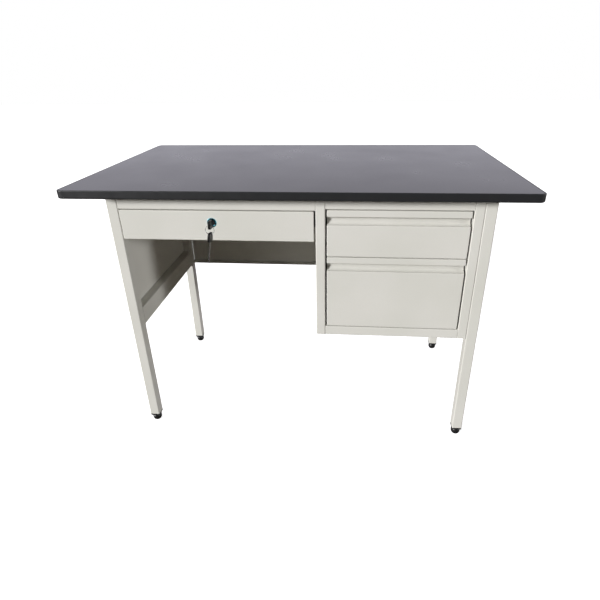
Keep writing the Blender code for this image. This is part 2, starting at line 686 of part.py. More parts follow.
def build_desk():
    clear_scene()
    paint = material("powder_coated_steel", (0.62, 0.62, 0.57), 0.45)
    laminate = material("dark_laminate", (0.035, 0.034, 0.038), 0.40)
    plastic = material("black_plastic", (0.012, 0.012, 0.013), 0.45)
    zinc = material("zinc_plated_steel", (0.62, 0.63, 0.65), 0.35, 1.0)
    chrome = material("chrome", (0.80, 0.82, 0.85), 0.12, 1.0)
    steel = material("nickel_plated_steel", (0.70, 0.70, 0.68), 0.25, 1.0)

    build_top(laminate, plastic)
    build_legs(paint, plastic)
    build_rails(paint)
    build_panels(paint)
    build_pedestal(paint)

    wide = joint_empty("wide_drawer_slide", (LOCK_X, FRONT_Y, LOCK_Z))
    middle_x = (PEDESTAL_FRONT_LEFT + PEDESTAL_FRONT_RIGHT) / 2
    upper = joint_empty("upper_drawer_slide", (middle_x, FRONT_Y, UPPER_FRONT_BOTTOM))
    lower = joint_empty("lower_drawer_slide", (middle_x, FRONT_Y, OPENING_BOTTOM))
    build_wide_drawer(paint, zinc, wide)
    upper_top = OPENING_TOP - FRONT_GAP
    build_pedestal_drawer(
        "upper_drawer", UPPER_FRONT_BOTTOM, upper_top, UPPER_BODY_TOP, UPPER_SLIDE_Z,
        paint, zinc, upper,
    )
    lower_top = UPPER_FRONT_BOTTOM - FRONT_GAP
    lower_bottom = OPENING_BOTTOM + FRONT_GAP
    build_pedestal_drawer(
        "lower_drawer", lower_bottom, lower_top, LOWER_BODY_TOP, LOWER_SLIDE_Z,
        paint, zinc, lower,
    )

    barrel = joint_empty("lock_turn", (LOCK_X, FRONT_Y, LOCK_Z))
    hole_y = build_lock(chrome, plastic, steel, wide, barrel)
    ring = joint_empty("key_ring_swing", (LOCK_X, hole_y, LOCK_Z))
    spare = joint_empty(
        "spare_key_swing", (LOCK_X, hole_y, LOCK_Z - 2 * RING_RADIUS), SPARE_LEAN, SPARE_TURN
    )
    build_keys_on_ring(steel, plastic, ring, spare, hole_y)


build_desk()
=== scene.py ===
import json

import bpy
import numpy as np
from mathutils import Matrix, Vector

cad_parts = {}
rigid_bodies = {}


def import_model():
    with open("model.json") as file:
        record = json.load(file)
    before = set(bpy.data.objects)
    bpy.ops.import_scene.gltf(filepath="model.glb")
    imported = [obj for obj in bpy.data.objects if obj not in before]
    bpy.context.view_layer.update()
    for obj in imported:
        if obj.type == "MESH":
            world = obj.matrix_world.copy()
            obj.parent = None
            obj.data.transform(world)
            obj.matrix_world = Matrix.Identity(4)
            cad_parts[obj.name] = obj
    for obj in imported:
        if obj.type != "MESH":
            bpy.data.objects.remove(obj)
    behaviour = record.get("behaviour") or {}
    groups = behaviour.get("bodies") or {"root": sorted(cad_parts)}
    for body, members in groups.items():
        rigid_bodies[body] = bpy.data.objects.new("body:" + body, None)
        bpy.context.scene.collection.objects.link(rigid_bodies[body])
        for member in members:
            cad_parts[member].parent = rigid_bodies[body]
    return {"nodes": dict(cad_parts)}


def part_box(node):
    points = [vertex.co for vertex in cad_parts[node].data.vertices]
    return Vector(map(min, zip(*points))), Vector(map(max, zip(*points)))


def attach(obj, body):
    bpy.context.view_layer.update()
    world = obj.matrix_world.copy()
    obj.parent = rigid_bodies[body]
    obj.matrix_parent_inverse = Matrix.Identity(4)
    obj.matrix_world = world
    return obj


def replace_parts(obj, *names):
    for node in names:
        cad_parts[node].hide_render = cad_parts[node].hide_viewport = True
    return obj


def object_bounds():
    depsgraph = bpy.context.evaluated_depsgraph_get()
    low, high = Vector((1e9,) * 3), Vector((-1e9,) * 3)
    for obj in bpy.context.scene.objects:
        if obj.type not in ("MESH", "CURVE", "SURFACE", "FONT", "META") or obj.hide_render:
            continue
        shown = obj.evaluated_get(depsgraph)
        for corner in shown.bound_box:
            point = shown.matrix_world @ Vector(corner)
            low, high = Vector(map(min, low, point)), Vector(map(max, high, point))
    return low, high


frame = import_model()
cad_low, cad_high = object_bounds()


# Legs: four square tubes of cold-rolled steel with small rolled corners, sawn to length, welded into
# the frame, and coated with the rest of it in one polyester powder. Their ends keep a fine seam.
def linear(colour):
    """An sRGB colour in hex as linear red, green, blue and alpha."""
    srgb = np.array([int(colour[i:i + 2], 16) for i in (1, 3, 5)]) / 255
    rgb = np.where(srgb < 0.04045, srgb / 12.92, ((srgb + 0.055) / 1.055) ** 2.4)
    return (*rgb.tolist(), 1.0)


def add(material, kind, inputs=(), **settings):
    """One more node: its settings are set, and each input takes a value or another node's output."""
    node = material.node_tree.nodes.new("ShaderNode" + kind)
    for name, value in settings.items():
        setattr(node, name, value)
    for name, value in dict(inputs).items():
        if isinstance(value, bpy.types.NodeSocket):
            material.node_tree.links.new(value, node.inputs[name])
        else:
            node.inputs[name].default_value = value
    return node


def powder_coat(name, colour, shade, recess):
    """Polyester powder baked on steel: an even, half-gloss coat with the orange-peel ripple that the powder
    leaves as it melts, about 2.5 mm from crest to crest, and a tone that drifts a little over 200 mm.
    Recesses narrower than recess are darkened by ambient occlusion towards a dark grey-brown: this is
    painted shade, and part of the colour."""
    coat = bpy.data.materials.new(name)
    coat.use_nodes = True
    shader = coat.node_tree.nodes["Principled BSDF"]
    place = add(coat, "TexCoord").outputs["Object"]
    drift = add(coat, "TexNoise", {"Vector": place, "Scale": 1 / 0.200, "Detail": 3.0}).outputs["Fac"]
    grains = add(coat, "TexNoise", {"Vector": place, "Scale": 1 / 0.0012, "Detail": 2.0}).outputs["Fac"]
    mixed = add(coat, "Math", {0: drift, 1: grains}, operation="MULTIPLY").outputs[0]
    share = add(coat, "MapRange", {"Value": mixed, "From Min": 0.12, "From Max": 0.38}).outputs[0]
    tone = add(coat, "Mix", {0: share, 6: linear(shade), 7: linear(colour)}, data_type="RGBA")
    inputs = shader.inputs
    # Painted shade: ambient occlusion within the recess distance darkens the base colour in recesses and
    # creases.
    opening = add(coat, "AmbientOcclusion", {"Distance": recess}, samples=12, only_local=True).outputs["AO"]
    painted_shade = add(coat, "MapRange", {"Value": opening, "From Min": 0.20, "From Max": 0.90}).outputs[0]
    coat_with_painted_shade = add(coat, "Mix", {0: painted_shade, 6: linear("#4c4a45"), 7: tone.outputs[2]}, data_type="RGBA")
    coat.node_tree.links.new(coat_with_painted_shade.outputs[2], inputs["Base Color"])
    gloss = add(coat, "MapRange", {"Value": drift, "To Min": 0.40, "To Max": 0.50}).outputs[0]
    coat.node_tree.links.new(gloss, inputs["Roughness"])
    peel = add(coat, "TexNoise", {"Vector": place, "Scale": 1 / 0.0025, "Detail": 1.0}).outputs["Fac"]
    ripple = add(coat, "Bump", {"Strength": 0.12, "Distance": 0.0003, "Height": peel})
    coat.node_tree.links.new(ripple.outputs[0], inputs["Normal"])
    return coat


def rectangle(low, high, radius):
    """A rectangle's corners, anticlockwise, with one bend radius for all four."""
    corners = [(low[0], low[1]), (high[0], low[1]), (high[0], high[1]), (low[0], high[1])]
    return bent(corners, [radius] * 4)


def bent(corners, radii, steps=5):
    """A closed anticlockwise outline with rounded corners. The line stops radius * tan(turn / 2) short of a
    corner and follows, for s from 0 to the turn, radius * (sin s along the line, 1 - cos s across it). One
    more point on the flat either side of each bend, no more than a third of the flat away, keeps the flat's
    shading flat."""
    corners = np.array(corners, float)
    radii = np.array(radii, float)[:, None]
    ahead = np.roll(corners, -1, 0) - corners
    length = np.linalg.norm(ahead, axis=1, keepdims=True)
    ahead /= length
    back = np.roll(ahead, 1, 0)
    turn = np.arctan2(back[:, 0] * ahead[:, 1] - back[:, 1] * ahead[:, 0], (back * ahead).sum(1))[:, None]
    across = np.sign(turn) * np.stack([-back[:, 1], back[:, 0]], 1)
    stop = radii * np.tan(abs(turn) / 2)
    flat = np.maximum(length - stop - np.roll(stop, -1, 0), 0)
    start = corners - back * stop
    s = abs(turn) * np.linspace(0, 1, steps + 1)
    sideways = (1 - np.cos(s))[..., None] * across[:, None]
    arc = start[:, None] + radii[:, None] * (np.sin(s)[..., None] * back[:, None] + sideways)
    before = start - back * np.minimum(radii, np.roll(flat, 1, 0)) / 3
    after = arc[:, -1] + ahead * np.minimum(radii, flat) / 3
    line = np.concatenate([before[:, None], arc, after[:, None]], 1).reshape(-1, 2)
    return line[np.linalg.norm(line - np.roll(line, 1, 0), axis=1) > 1e-6]


def skinned(name, rings, looped=False):
    """Rings of equally many points joined in order by four-sided faces: filled at both ends, or looped."""
    index = np.arange(rings.shape[0] * rings.shape[1]).reshape(rings.shape[:2])
    row = np.vstack([index, index[:1]]) if looped else index
    sides = np.stack([row[:-1], np.roll(row[:-1], -1, 1), np.roll(row[1:], -1, 1), row[1:]], -1)
    faces = sides.reshape(-1, 4).tolist()
    if not looped:
        faces += [index[0, ::-1].tolist(), index[-1].tolist()]
    mesh = bpy.data.meshes.new(name)
    mesh.from_pydata(rings.reshape(-1, 3).tolist(), [], faces)
    mesh.shade_smooth()
    piece = bpy.data.objects.new(name, mesh)
    bpy.context.scene.collection.objects.link(piece)
    return piece


def mitred(outline):
    """At each point of a closed anticlockwise outline, the step that moves both its sides inwards by one."""
    ahead = np.roll(outline, -1, 0) - outline
    ahead /= np.linalg.norm(ahead, axis=1, keepdims=True)
    left = np.stack([-ahead[:, 1], ahead[:, 0]], 1)
    back = np.roll(left, 1, 0)
    return (left + back) / (1 + (left * back).sum(1, keepdims=True))


def carried(name, outline, axis, start, end, bend=0.0005):
    """An outline carried along X, Y or Z, given in the other two axes in the order YZ, ZX or XY. Its ends are
    eased: for t over a quarter turn the outline is inset by bend * (1 - sin t), bend * (1 - cos t) from the
    end.
    The bend is smaller than the outline's own, or the inset outline would cross itself."""
    t = np.linspace(0, np.pi / 2, 4)
    inward = np.concatenate([[1.15 * bend], bend * (1 - np.sin(t)), [0]])
    along = np.concatenate([[0], bend * (1 - np.cos(t)), [1.4 * bend]])
    inward = np.concatenate([inward, inward[::-1]])[:, None, None]
    along = np.concatenate([start + along, end - along[::-1]])
    rings = np.empty((len(along), len(outline), 3))
    u, v, w = {"X": (1, 2, 0), "Y": (2, 0, 1), "Z": (0, 1, 2)}[axis]
    rings[..., [u, v]] = outline + inward * mitred(outline)
    rings[..., w] = along[:, None]
    return skinned(name, rings)


def fitted(piece, finish, slot, body, *nodes):
    """The piece with its material, riding on its body in place of these CAD nodes. slot is not used."""
    piece.data.materials.append(finish)
    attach(piece, body)
    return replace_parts(piece, *nodes)


frame_coat = powder_coat("powder_coated_steel", "#d7d5cf", "#cecdc5", 0.004)
tube_radius = 0.0025
for leg in ("leg_front_left", "leg_front_right", "leg_rear_left", "leg_rear_right"):
    low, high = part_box(leg)
    tube = carried(leg + "_tube", rectangle(low, high, tube_radius), "Z", low.z, high.z)
    fitted(tube, frame_coat, "powder_coat", "desk", leg)


# Feet: black polyethylene end caps, injection moulded and pushed into the tubes. Each has a square flange
# that closes the tube and a round foot below it, drawn in to a small flat tread.
def moulded_plastic(name, colour, gloss):
    """Moulded plastic: dark and even, with a fine spark-eroded grain of about 0.6 mm and duller scuffs."""
    plastic = bpy.data.materials.new(name)
    plastic.use_nodes = True
    inputs = plastic.node_tree.nodes["Principled BSDF"].inputs
    inputs["Base Color"].default_value = linear(colour)
    place = add(plastic, "TexCoord").outputs["Object"]
    scuff = add(plastic, "TexNoise", {"Vector": place, "Scale": 1 / 0.015, "Detail": 4.0}).outputs["Fac"]
    dull = add(plastic, "MapRange", {"Value": scuff, "To Min": gloss, "To Max": gloss + 0.2}).outputs[0]
    plastic.node_tree.links.new(dull, inputs["Roughness"])
    grain = add(plastic, "TexNoise", {"Vector": place, "Scale": 1 / 0.0006, "Detail": 1.0}).outputs["Fac"]
    bump = add(plastic, "Bump", {"Strength": 0.1, "Distance": 0.0002, "Height": grain})
    plastic.node_tree.links.new(bump.outputs[0], inputs["Normal"])
    return plastic


foot_plastic = moulded_plastic("moulded_polyethylene", "#1b1b1c", 0.28)
foot_radius = 0.0130
tread_radius = 0.0065
flange_height = 0.0052
for foot in ("foot_front_left", "foot_front_right", "foot_rear_left", "foot_rear_right"):
    low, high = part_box(foot)
    tube_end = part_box(foot.replace("foot", "leg"))[0].z
    drop = tube_end - flange_height
    flange = carried(foot + "_flange", rectangle(low, high, tube_radius), "Z", drop, tube_end)
    fitted(flange, foot_plastic, "foot_plastic", "desk", foot)
    s = np.linspace(0, np.pi / 2, 12)
    dome = tread_radius + (foot_radius - tread_radius) * np.cos(s)
    radius = np.concatenate([[foot_radius, foot_radius], dome])
    height = np.concatenate([[drop, 0.55 * drop], 0.5 * drop * (1 - np.sin(s))])[::-1]
    around = np.linspace(0, 2 * np.pi, 40, endpoint=False)
    middle = (low + high) / 2
    rings = np.empty((len(height), len(around), 3))
    rings[..., 0] = middle.x + radius[::-1, None] * np.cos(around)
    rings[..., 1] = middle.y + radius[::-1, None] * np.sin(around)
    rings[..., 2] = height[:, None]
    fitted(skinned(foot + "_pad", rings), foot_plastic, "foot_plastic", "desk", foot)


# Rails: the lower and rear rails are tube, welded between the legs. The apron over the wide drawer and the
# top side rails are channel, folded from 1.2 mm sheet and open to the side that doesn't show.
def folded(path, thickness, bend):
    """The outline of a sheet folded along an open path, with its thickness to the left of the path. The outer
    side of each fold has the bend radius and the inner side that radius less the thickness."""
    path = np.array(path, float)
    ahead = np.diff(path, axis=0)
    ahead /= np.linalg.norm(ahead, axis=1, keepdims=True)
    left = np.stack([-ahead[:, 1], ahead[:, 0]], 1)
    first, last = np.vstack([left[:1], left]), np.vstack([left, left[-1:]])
    inner = path + thickness * (first + last) / (1 + (first * last).sum(1, keepdims=True))
    turn = ahead[:-1, 0] * ahead[1:, 1] - ahead[:-1, 1] * ahead[1:, 0]
    edge = thickness / 4
    outer_radii = np.where(turn > 0, bend, bend - thickness)
    inner_radii = np.where(turn > 0, bend - thickness, bend)
    radii = [edge, *outer_radii, edge, edge, *inner_radii[::-1], edge]
    return bent(np.vstack([path, inner[::-1]]), radii)


frame_sheet = 0.0012
frame_bend = 0.0022
seam_ease = 0.0002
for rail, axis in (("rear_top_rail", "X"), ("left_lower_rail", "Y"), ("right_lower_rail", "Y")):
    low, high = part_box(rail)
    if axis == "X":
        low_uv, high_uv = (low.y, low.z), (high.y, high.z)
    else:
        low_uv, high_uv = (low.z, low.x), (high.z, high.x)
    start, end = (low.x, high.x) if axis == "X" else (low.y, high.y)
    piece = carried(rail + "_tube", rectangle(low_uv, high_uv, tube_radius), axis, start, end, seam_ease)
    fitted(piece, frame_coat, "powder_coat", "desk", rail)
for rail in ("front_apron_rail", "pedestal_top_rail", "pedestal_bottom_rail"):
    low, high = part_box(rail)
    path = [(high.y, high.z), (low.y, high.z), (low.y, low.z), (high.y, low.z)]
    piece = carried(rail + "_channel", folded(path, frame_sheet, frame_bend), "X", low.x, high.x, seam_ease)
    fitted(piece, frame_coat, "powder_coat", "desk", rail)
for rail, web_x in (("left_top_rail", 1), ("right_top_rail", 0)):
    low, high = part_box(rail)
    web, lip = (high.x, low.x) if web_x else (low.x, high.x)
    path = [(low.z, lip), (low.z, web), (high.z, web), (high.z, lip)]
    path = path[::-1] if web_x else path
    piece = carried(rail + "_channel", folded(path, frame_sheet, frame_bend), "Y", low.y, high.y, seam_ease)
    fitted(piece, frame_coat, "powder_coat", "desk", rail)


# Panels: the two ends and the modesty panel at the back, 1 mm sheet with flanges folded along the edges
# and spot-welded to the legs and rails before coating.
panel_sheet = 0.0010
panel_bend = 0.0020
cut_ease = 0.0002
for side, sign in (("left", -1), ("right", 1)):
    low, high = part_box(side + "_side_panel")
    face, lip = (low.x, high.x) if sign < 0 else (high.x, low.x)
    path = [(low.z, lip), (low.z, face), (high.z, face), (high.z, lip)]
    path = path if sign > 0 else path[::-1]
    panel = carried(side + "_end_panel", folded(path, panel_sheet, panel_bend), "Y", low.y, high.y, cut_ease)
    fitted(panel, frame_coat, "powder_coat", "desk", side + "_side_panel")
low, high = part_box("modesty_panel")
path = [(low.y, low.z), (high.y, low.z), (high.y, high.z)]
panel = carried("modesty_sheet", folded(path, panel_sheet, panel_bend), "X", low.x, high.x, cut_ease)
fitted(panel, frame_coat, "powder_coat", "desk", "modesty_panel")


# Pedestal: a case of 1 mm sheet behind a face frame. The two stiles are folded channel that laps the case's
# front edges, and run from the bottom rail up to the desktop.
for side in ("left", "right"):
    low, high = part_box(f"pedestal_{side}_stile")
    path = [(low.x, high.y), (low.x, low.y), (high.x, low.y), (high.x, high.y)]
    outline = folded(path, frame_sheet, frame_bend)
    stile = carried(f"pedestal_{side}_post", outline, "Z", low.z, high.z, seam_ease)
    fitted(stile, frame_coat, "powder_coat", "desk", f"pedestal_{side}_stile")
for sheet in ("pedestal_left_side", "pedestal_right_side", "pedestal_back", "pedestal_bottom"):
    for material_slot in frame["nodes"][sheet].material_slots:
        material_slot.material = frame_coat


# Runners: zinc-plated channel, two on the desk and two on the drawer for each drawer.
def zinc_plate():
    """Bright zinc on cold-rolled steel: a pale metal with rolling marks along the strip every 0.8 mm and a
    faint spangle of crystals about 4 mm across."""
    zinc = bpy.data.materials.new("zinc_plated_steel")
    zinc.use_nodes = True
    inputs = zinc.node_tree.nodes["Principled BSDF"].inputs
    inputs["Metallic"].default_value = 1.0
    place = add(zinc, "TexCoord").outputs["Object"]
    spangle = add(zinc, "TexVoronoi", {"Vector": place, "Scale": 1 / 0.004}).outputs["Color"]
    tone = add(zinc, "Mix", {0: spangle, 6: linear("#a9acae"), 7: linear("#bfc2c3")}, data_type="RGBA")
    zinc.node_tree.links.new(tone.outputs[2], inputs["Base Color"])
    strip = add(zinc, "Mapping", {"Vector": place, "Scale": (1.0, 0.02, 1.0)}).outputs[0]
    marks = add(zinc, "TexNoise", {"Vector": strip, "Scale": 1 / 0.0008, "Detail": 2.0}).outputs["Fac"]
    dull = add(zinc, "MapRange", {"Value": marks, "To Min": 0.28, "To Max": 0.46}).outputs[0]
    zinc.node_tree.links.new(dull, inputs["Roughness"])
    return zinc


zinc = zinc_plate()
for drawer in ("wide_drawer", "upper_drawer", "lower_drawer"):
    for side in ("left", "right"):
        for part, body in (("runner", "desk"), ("slide", drawer)):
            node = f"{drawer}_{side}_{part}"
            low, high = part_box(node)
            outward = side == "left"
            web, lip = (low.x, high.x) if outward == (part == "runner") else (high.x, low.x)
            path = [(low.z, lip), (low.z, web), (high.z, web), (high.z, lip)]
            path = path if web > lip else path[::-1]
            outline = folded(path, frame_sheet, 0.0018)
            channel = carried(node + "_channel", outline, "Y", low.y, high.y, cut_ease)
            fitted(channel, zinc, "zinc_steel", body, node)


# Drawer bodies: trays of 1 mm sheet, spot-welded at the corners and coated. The upper edges are hemmed,
# folded back on themselves, so that no raw edge is left to the hand.
hem_thickness = 0.0022
hem_height = 0.008
for drawer in ("wide_drawer", "upper_drawer", "lower_drawer"):
    for side in ("left_side", "right_side", "back"):
        node = f"{drawer}_{side}"
        low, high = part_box(node)
        if side == "back":
            outer, inner, axis, start, end = high.y, low.y, "X", low.x, high.x
        elif side == "left_side":
            outer, inner, axis, start, end = low.x, high.x, "Y", low.y, high.y
        else:
            outer, inner, axis, start, end = high.x, low.x, "Y", low.y, high.y
        wall = outer + (panel_sheet if inner > outer else -panel_sheet)
        hem = outer + (hem_thickness if inner > outer else -hem_thickness)
        corners = [
            (outer, low.z), (wall, low.z), (wall, high.z - hem_height), (hem, high.z - hem_height),
            (hem, high.z), (outer, high.z),
        ]
        radii = [0.0003, 0.0003, 0.0005, 0.0004, 0.001, 0.001]
        corners = corners if axis == "X" else [(z, x) for x, z in corners]
        area = sum(a[0] * b[1] - a[1] * b[0] for a, b in zip(corners, corners[1:] + corners[:1]))
        if area < 0:
            corners, radii = corners[::-1], radii[::-1]
        wall_piece = carried(node + "_sheet", bent(corners, radii), axis, start, end, cut_ease)
        fitted(wall_piece, frame_coat, "powder_coat", drawer, node)
    for material_slot in frame["nodes"][drawer + "_bottom"].material_slots:
        material_slot.material = frame_coat


# Drawer fronts: two skins of 1 mm sheet, folded into a hollow panel 18 mm deep. Each pedestal front has its
# pull rolled into it: a lip along the top and a full-width channel below that sweeps back out to the face.
# The fronts' coat paints shade into recesses up to 14 mm, such as the pull channel under the lip.
face_coat = powder_coat("powder_coated_fronts", "#d6d4ce", "#cdccc4", 0.014)
fold = 0.0018
lip_height = 0.0168
channel_height = 0.0208
channel_depth = 0.0130
for drawer in ("wide_drawer", "upper_drawer", "lower_drawer"):
    low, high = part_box(drawer + "_front")
    corners = [(low.y, low.z), (high.y, low.z), (high.y, high.z), (low.y, high.z)]
    radii = [fold] * 4
    if drawer != "wide_drawer":
        # The channel is a half ellipse on its side: its roof curves up and back behind the lip, and its floor
        # sweeps down and out again to the face.
        lip = high.z - lip_height
        s = np.linspace(-0.5 * np.pi, 0.44 * np.pi, 18)
        middle_z = lip - 0.40 * channel_height
        rise = np.where(s < 0, 0.40, 0.60) * channel_height
        sweep_y = low.y + channel_depth * np.cos(s)
        sweep_z = middle_z - rise * np.sin(s)
        corners += [(low.y, lip), *zip(sweep_y[1:], sweep_z[1:]), (low.y, lip - channel_height)]
        radii += [fold, *np.zeros(len(s) - 1), fold]
    front = carried(drawer + "_panel", bent(corners, radii), "X", low.x, high.x, 0.0014)
    fitted(front, face_coat, "powder_coat", drawer, drawer + "_front")


# Lock: a cam lock with a die-cast housing, whose bright ring covers the hole in the wide drawer's front. A
# hex nut clamps it from inside. The black-faced plug turns in it, and carries the pressed cam on its end.
def polished_metal(name, colour, gloss):
    """Plated metal, nearly a mirror, dulled here and there by handling scratches about 0.5 mm wide."""
    metal = bpy.data.materials.new(name)
    metal.use_nodes = True
    inputs = metal.node_tree.nodes["Principled BSDF"].inputs
    inputs["Metallic"].default_value = 1.0
    inputs["Base Color"].default_value = linear(colour)
    place = add(metal, "TexCoord").outputs["Object"]
    scratch = add(metal, "TexNoise", {"Vector": place, "Scale": 1 / 0.0005, "Detail": 3.0, "Distortion": 1.5})
    dull = add(metal, "MapRange", {"Value": scratch.outputs["Fac"], "To Min": gloss, "To Max": gloss + 0.12})
    metal.node_tree.links.new(dull.outputs[0], inputs["Roughness"])
    return metal


def around(centre, axis, radius, along):
    """A profile turned round an axis: for angle a, centre + radius * (cos a, sin a) at each point along."""
    a = np.linspace(0, 2 * np.pi, 48, endpoint=False)
    u, v, w = {"X": (1, 2, 0), "Y": (2, 0, 1), "Z": (0, 1, 2)}[axis]
    rings = np.empty((len(radius), len(a), 3))
    rings[..., u] = centre[u] + np.outer(radius, np.cos(a))
    rings[..., v] = centre[v] + np.outer(radius, np.sin(a))
    rings[..., w] = np.array(along)[:, None]
    return rings


def polygon(centre, radius, sides):
    """A regular polygon's outline, or a circle's with many sides, anticlockwise."""
    a = np.linspace(0, 2 * np.pi, sides, endpoint=False)
    return np.stack([centre[0] + radius * np.cos(a), centre[1] + radius * np.sin(a)], 1)


# The ring's blue base colour is a painted reflection of blue sky on bright chrome.
chrome_painted_sky_blue = polished_metal("chrome_with_painted_sky_reflection", "#58b4cf", 0.12)
bright_nickel = polished_metal("bright_nickel_plate", "#c2c4c9", 0.16)
black_zinc = moulded_plastic("black_lacquered_zinc", "#161617", 0.32)
low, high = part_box("lock_housing")
plug_low, plug_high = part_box("lock_plug")
centre = (low + high) / 2
face_radius = (high.x - low.x) / 2
body_radius = 0.0095
bore_radius = 0.0078
panel_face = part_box("wide_drawer_front")[0].y
panel_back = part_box("wide_drawer_front")[1].y
profile = bent(
    [
        (bore_radius, low.y), (face_radius, low.y), (face_radius, panel_face - 0.0001),
        (body_radius, panel_face - 0.0001), (body_radius, high.y), (bore_radius, high.y),
    ],
    [0.0004, 0.0012, 0.0003, 0.0002, 0.0004, 0.0002],
)
housing = skinned("lock_ring_and_body", around(centre, "Y", profile[:, 0], profile[:, 1]), looped=True)
fitted(housing, chrome_painted_sky_blue, "lock_chrome", "wide_drawer", "lock_housing")
nut_radius = 0.0145
nut_front = panel_back + 0.0002
nut_back = panel_back + 0.0032
nut = carried("lock_nut", polygon((centre.z, centre.x), nut_radius, 6), "Y", nut_front, nut_back, 0.0004)
fitted(nut, bright_nickel, "lock_chrome", "wide_drawer")
plug_radius = (plug_high.x - plug_low.x) / 2
plug_outline = polygon((centre.z, centre.x), plug_radius, 48)
plug = carried("lock_barrel_face", plug_outline, "Y", plug_low.y, plug_high.y, 0.0005)
fitted(plug, black_zinc, "lock_face", "lock_barrel", "lock_plug")
cam_low, cam_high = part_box("lock_cam")
half = (cam_high.z - cam_low.z) / 2
corners = [(cam_low.z, cam_low.x), (cam_high.z, cam_low.x), (cam_high.z, cam_high.x), (cam_low.z, cam_high.x)]
cam_outline = bent(corners, [0.98 * half] * 4, steps=12)
cam = carried("lock_cam_plate", cam_outline, "Y", cam_low.y, cam_high.y, 0.0003)
fitted(cam, bright_nickel, "nickel_steel", "lock_barrel", "lock_cam")


# Keys: two alike, nickel-plated blades with cut teeth and thick black heads moulded on. One is in the lock,
# and the other hangs from it on a ring of spring wire wound twice round.
def key_head(name, low, high, hole, radius):
    """A flat head in Y and Z, as thick as low to high in X, with eased edges. Each ring of its skin is the
    outline or the hole's circle, whose points lie on the lines from the hole's centre to the outline's
    points."""
    corners = [(low[1], low[2]), (high[1], low[2]), (high[1], high[2]), (low[1], high[2])]
    outline = bent(corners, [radius] * 4, 9)
    spoke = outline - hole
    spoke /= np.linalg.norm(spoke, axis=1, keepdims=True)
    ease = 0.0012
    t = np.linspace(0, np.pi / 2, 5)
    inward = np.concatenate([[1.3 * ease], ease * (1 - np.sin(t))])
    across = np.concatenate([[0], ease * (1 - np.cos(t))])
    inward = np.concatenate([inward, inward[::-1]])[:, None, None]
    across = np.concatenate([low[0] + across, high[0] - across[::-1]])
    outer = outline + inward * mitred(outline)
    hole_radius = 0.0025 + np.array([0.0005, 0.0001, 0, 0, 0.0001, 0.0005])[:, None, None]
    hole_across = np.array([0, 0.0001, 0.0005])
    hole_across = np.concatenate([high[0] - hole_across, low[0] + hole_across[::-1]])
    inner = hole + hole_radius * spoke
    rings = np.empty((len(across) + len(hole_across), len(outline), 3))
    rings[..., 1:] = np.concatenate([outer, inner])
    rings[..., 0] = np.concatenate([across, hole_across])[:, None]
    return skinned(name, rings, looped=True)


head_plastic = moulded_plastic("moulded_abs", "#141415", 0.22)
head_length = 0.025
head_width = 0.021
head_thickness = 0.0060
head_radius = 0.007
hole_inset = 0.0045
blade_thickness = 0.0020
blade_width = 0.0070
low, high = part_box("lock_key")
head_low = (centre.x - head_thickness / 2, low.y, centre.z - head_width / 2)
head_high = (centre.x + head_thickness / 2, low.y + head_length, centre.z + head_width / 2)
hole = np.array((low.y + hole_inset, centre.z))
head = key_head("lock_key_head", head_low, head_high, hole, head_radius)
fitted(head, head_plastic, "key_plastic", "lock_barrel", "lock_key")
outline = rectangle(
    (low.y + head_length - 0.004, centre.z - blade_width / 2), (high.y, centre.z + blade_width / 2), 0.001
)
half = blade_thickness / 2
blade = carried("lock_key_blade", outline, "X", centre.x - half, centre.x + half, 0.0002)
fitted(blade, bright_nickel, "nickel_steel", "lock_barrel")

spare_blade_length = 0.058
ring_low, ring_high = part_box("key_ring")
hang_height = 0.0007
hang = np.array([(ring_low.x + ring_high.x) / 2, (ring_low.y + ring_high.y) / 2, ring_low.z + hang_height])
spare_low = hang + (-head_thickness / 2, -head_width / 2, hole_inset - head_length)
spare_high = hang + (head_thickness / 2, head_width / 2, hole_inset)
spare_head = key_head("spare_key_head", spare_low, spare_high, hang[1:], head_radius)
# The teeth: V cuts of six depths, 4 mm apart, up one edge from the tip.
cut_depths = np.array([1.4, 2.2, 0.9, 1.8, 1.2, 2.4]) / 1000
tip = spare_low[2] - spare_blade_length
cut_z = tip + 0.006 + 0.004 * np.arange(len(cut_depths))
front_y = hang[1] - blade_width / 2
cuts = np.stack([
    np.stack([np.full(len(cut_z), front_y), cut_z - 0.0017], 1),
    np.stack([front_y + cut_depths, cut_z - 0.0004], 1),
    np.stack([front_y + cut_depths, cut_z + 0.0004], 1),
    np.stack([np.full(len(cut_z), front_y), cut_z + 0.0017], 1),
], 1).reshape(-1, 2)[::-1]
top = spare_low[2] + 0.004
back_y = front_y + blade_width
corners = [
    (front_y, top), *cuts, (front_y + 0.003, tip),
    (back_y - 0.001, tip), (back_y, tip + 0.002), (back_y, top),
]
outline = bent(corners, [0.00015] * len(corners), 2)
spare_blade = carried("spare_key_blade", outline, "X", hang[0] - half, hang[0] + half, 0.0001)
# The key hangs from the ring, leaning and turned by these degrees.
lean_degrees = 9
turn_degrees = -8
lean = Matrix.Rotation(np.radians(lean_degrees), 4, "Y")
turned = Matrix.Rotation(np.radians(turn_degrees), 4, "Z")
swing = Matrix.Translation(hang) @ turned @ lean @ Matrix.Translation(-hang)
for piece in (spare_head, spare_blade):
    piece.data.transform(swing)
fitted(spare_head, head_plastic, "key_plastic", "spare_key", "spare_key")
fitted(spare_blade, bright_nickel, "nickel_steel", "spare_key")

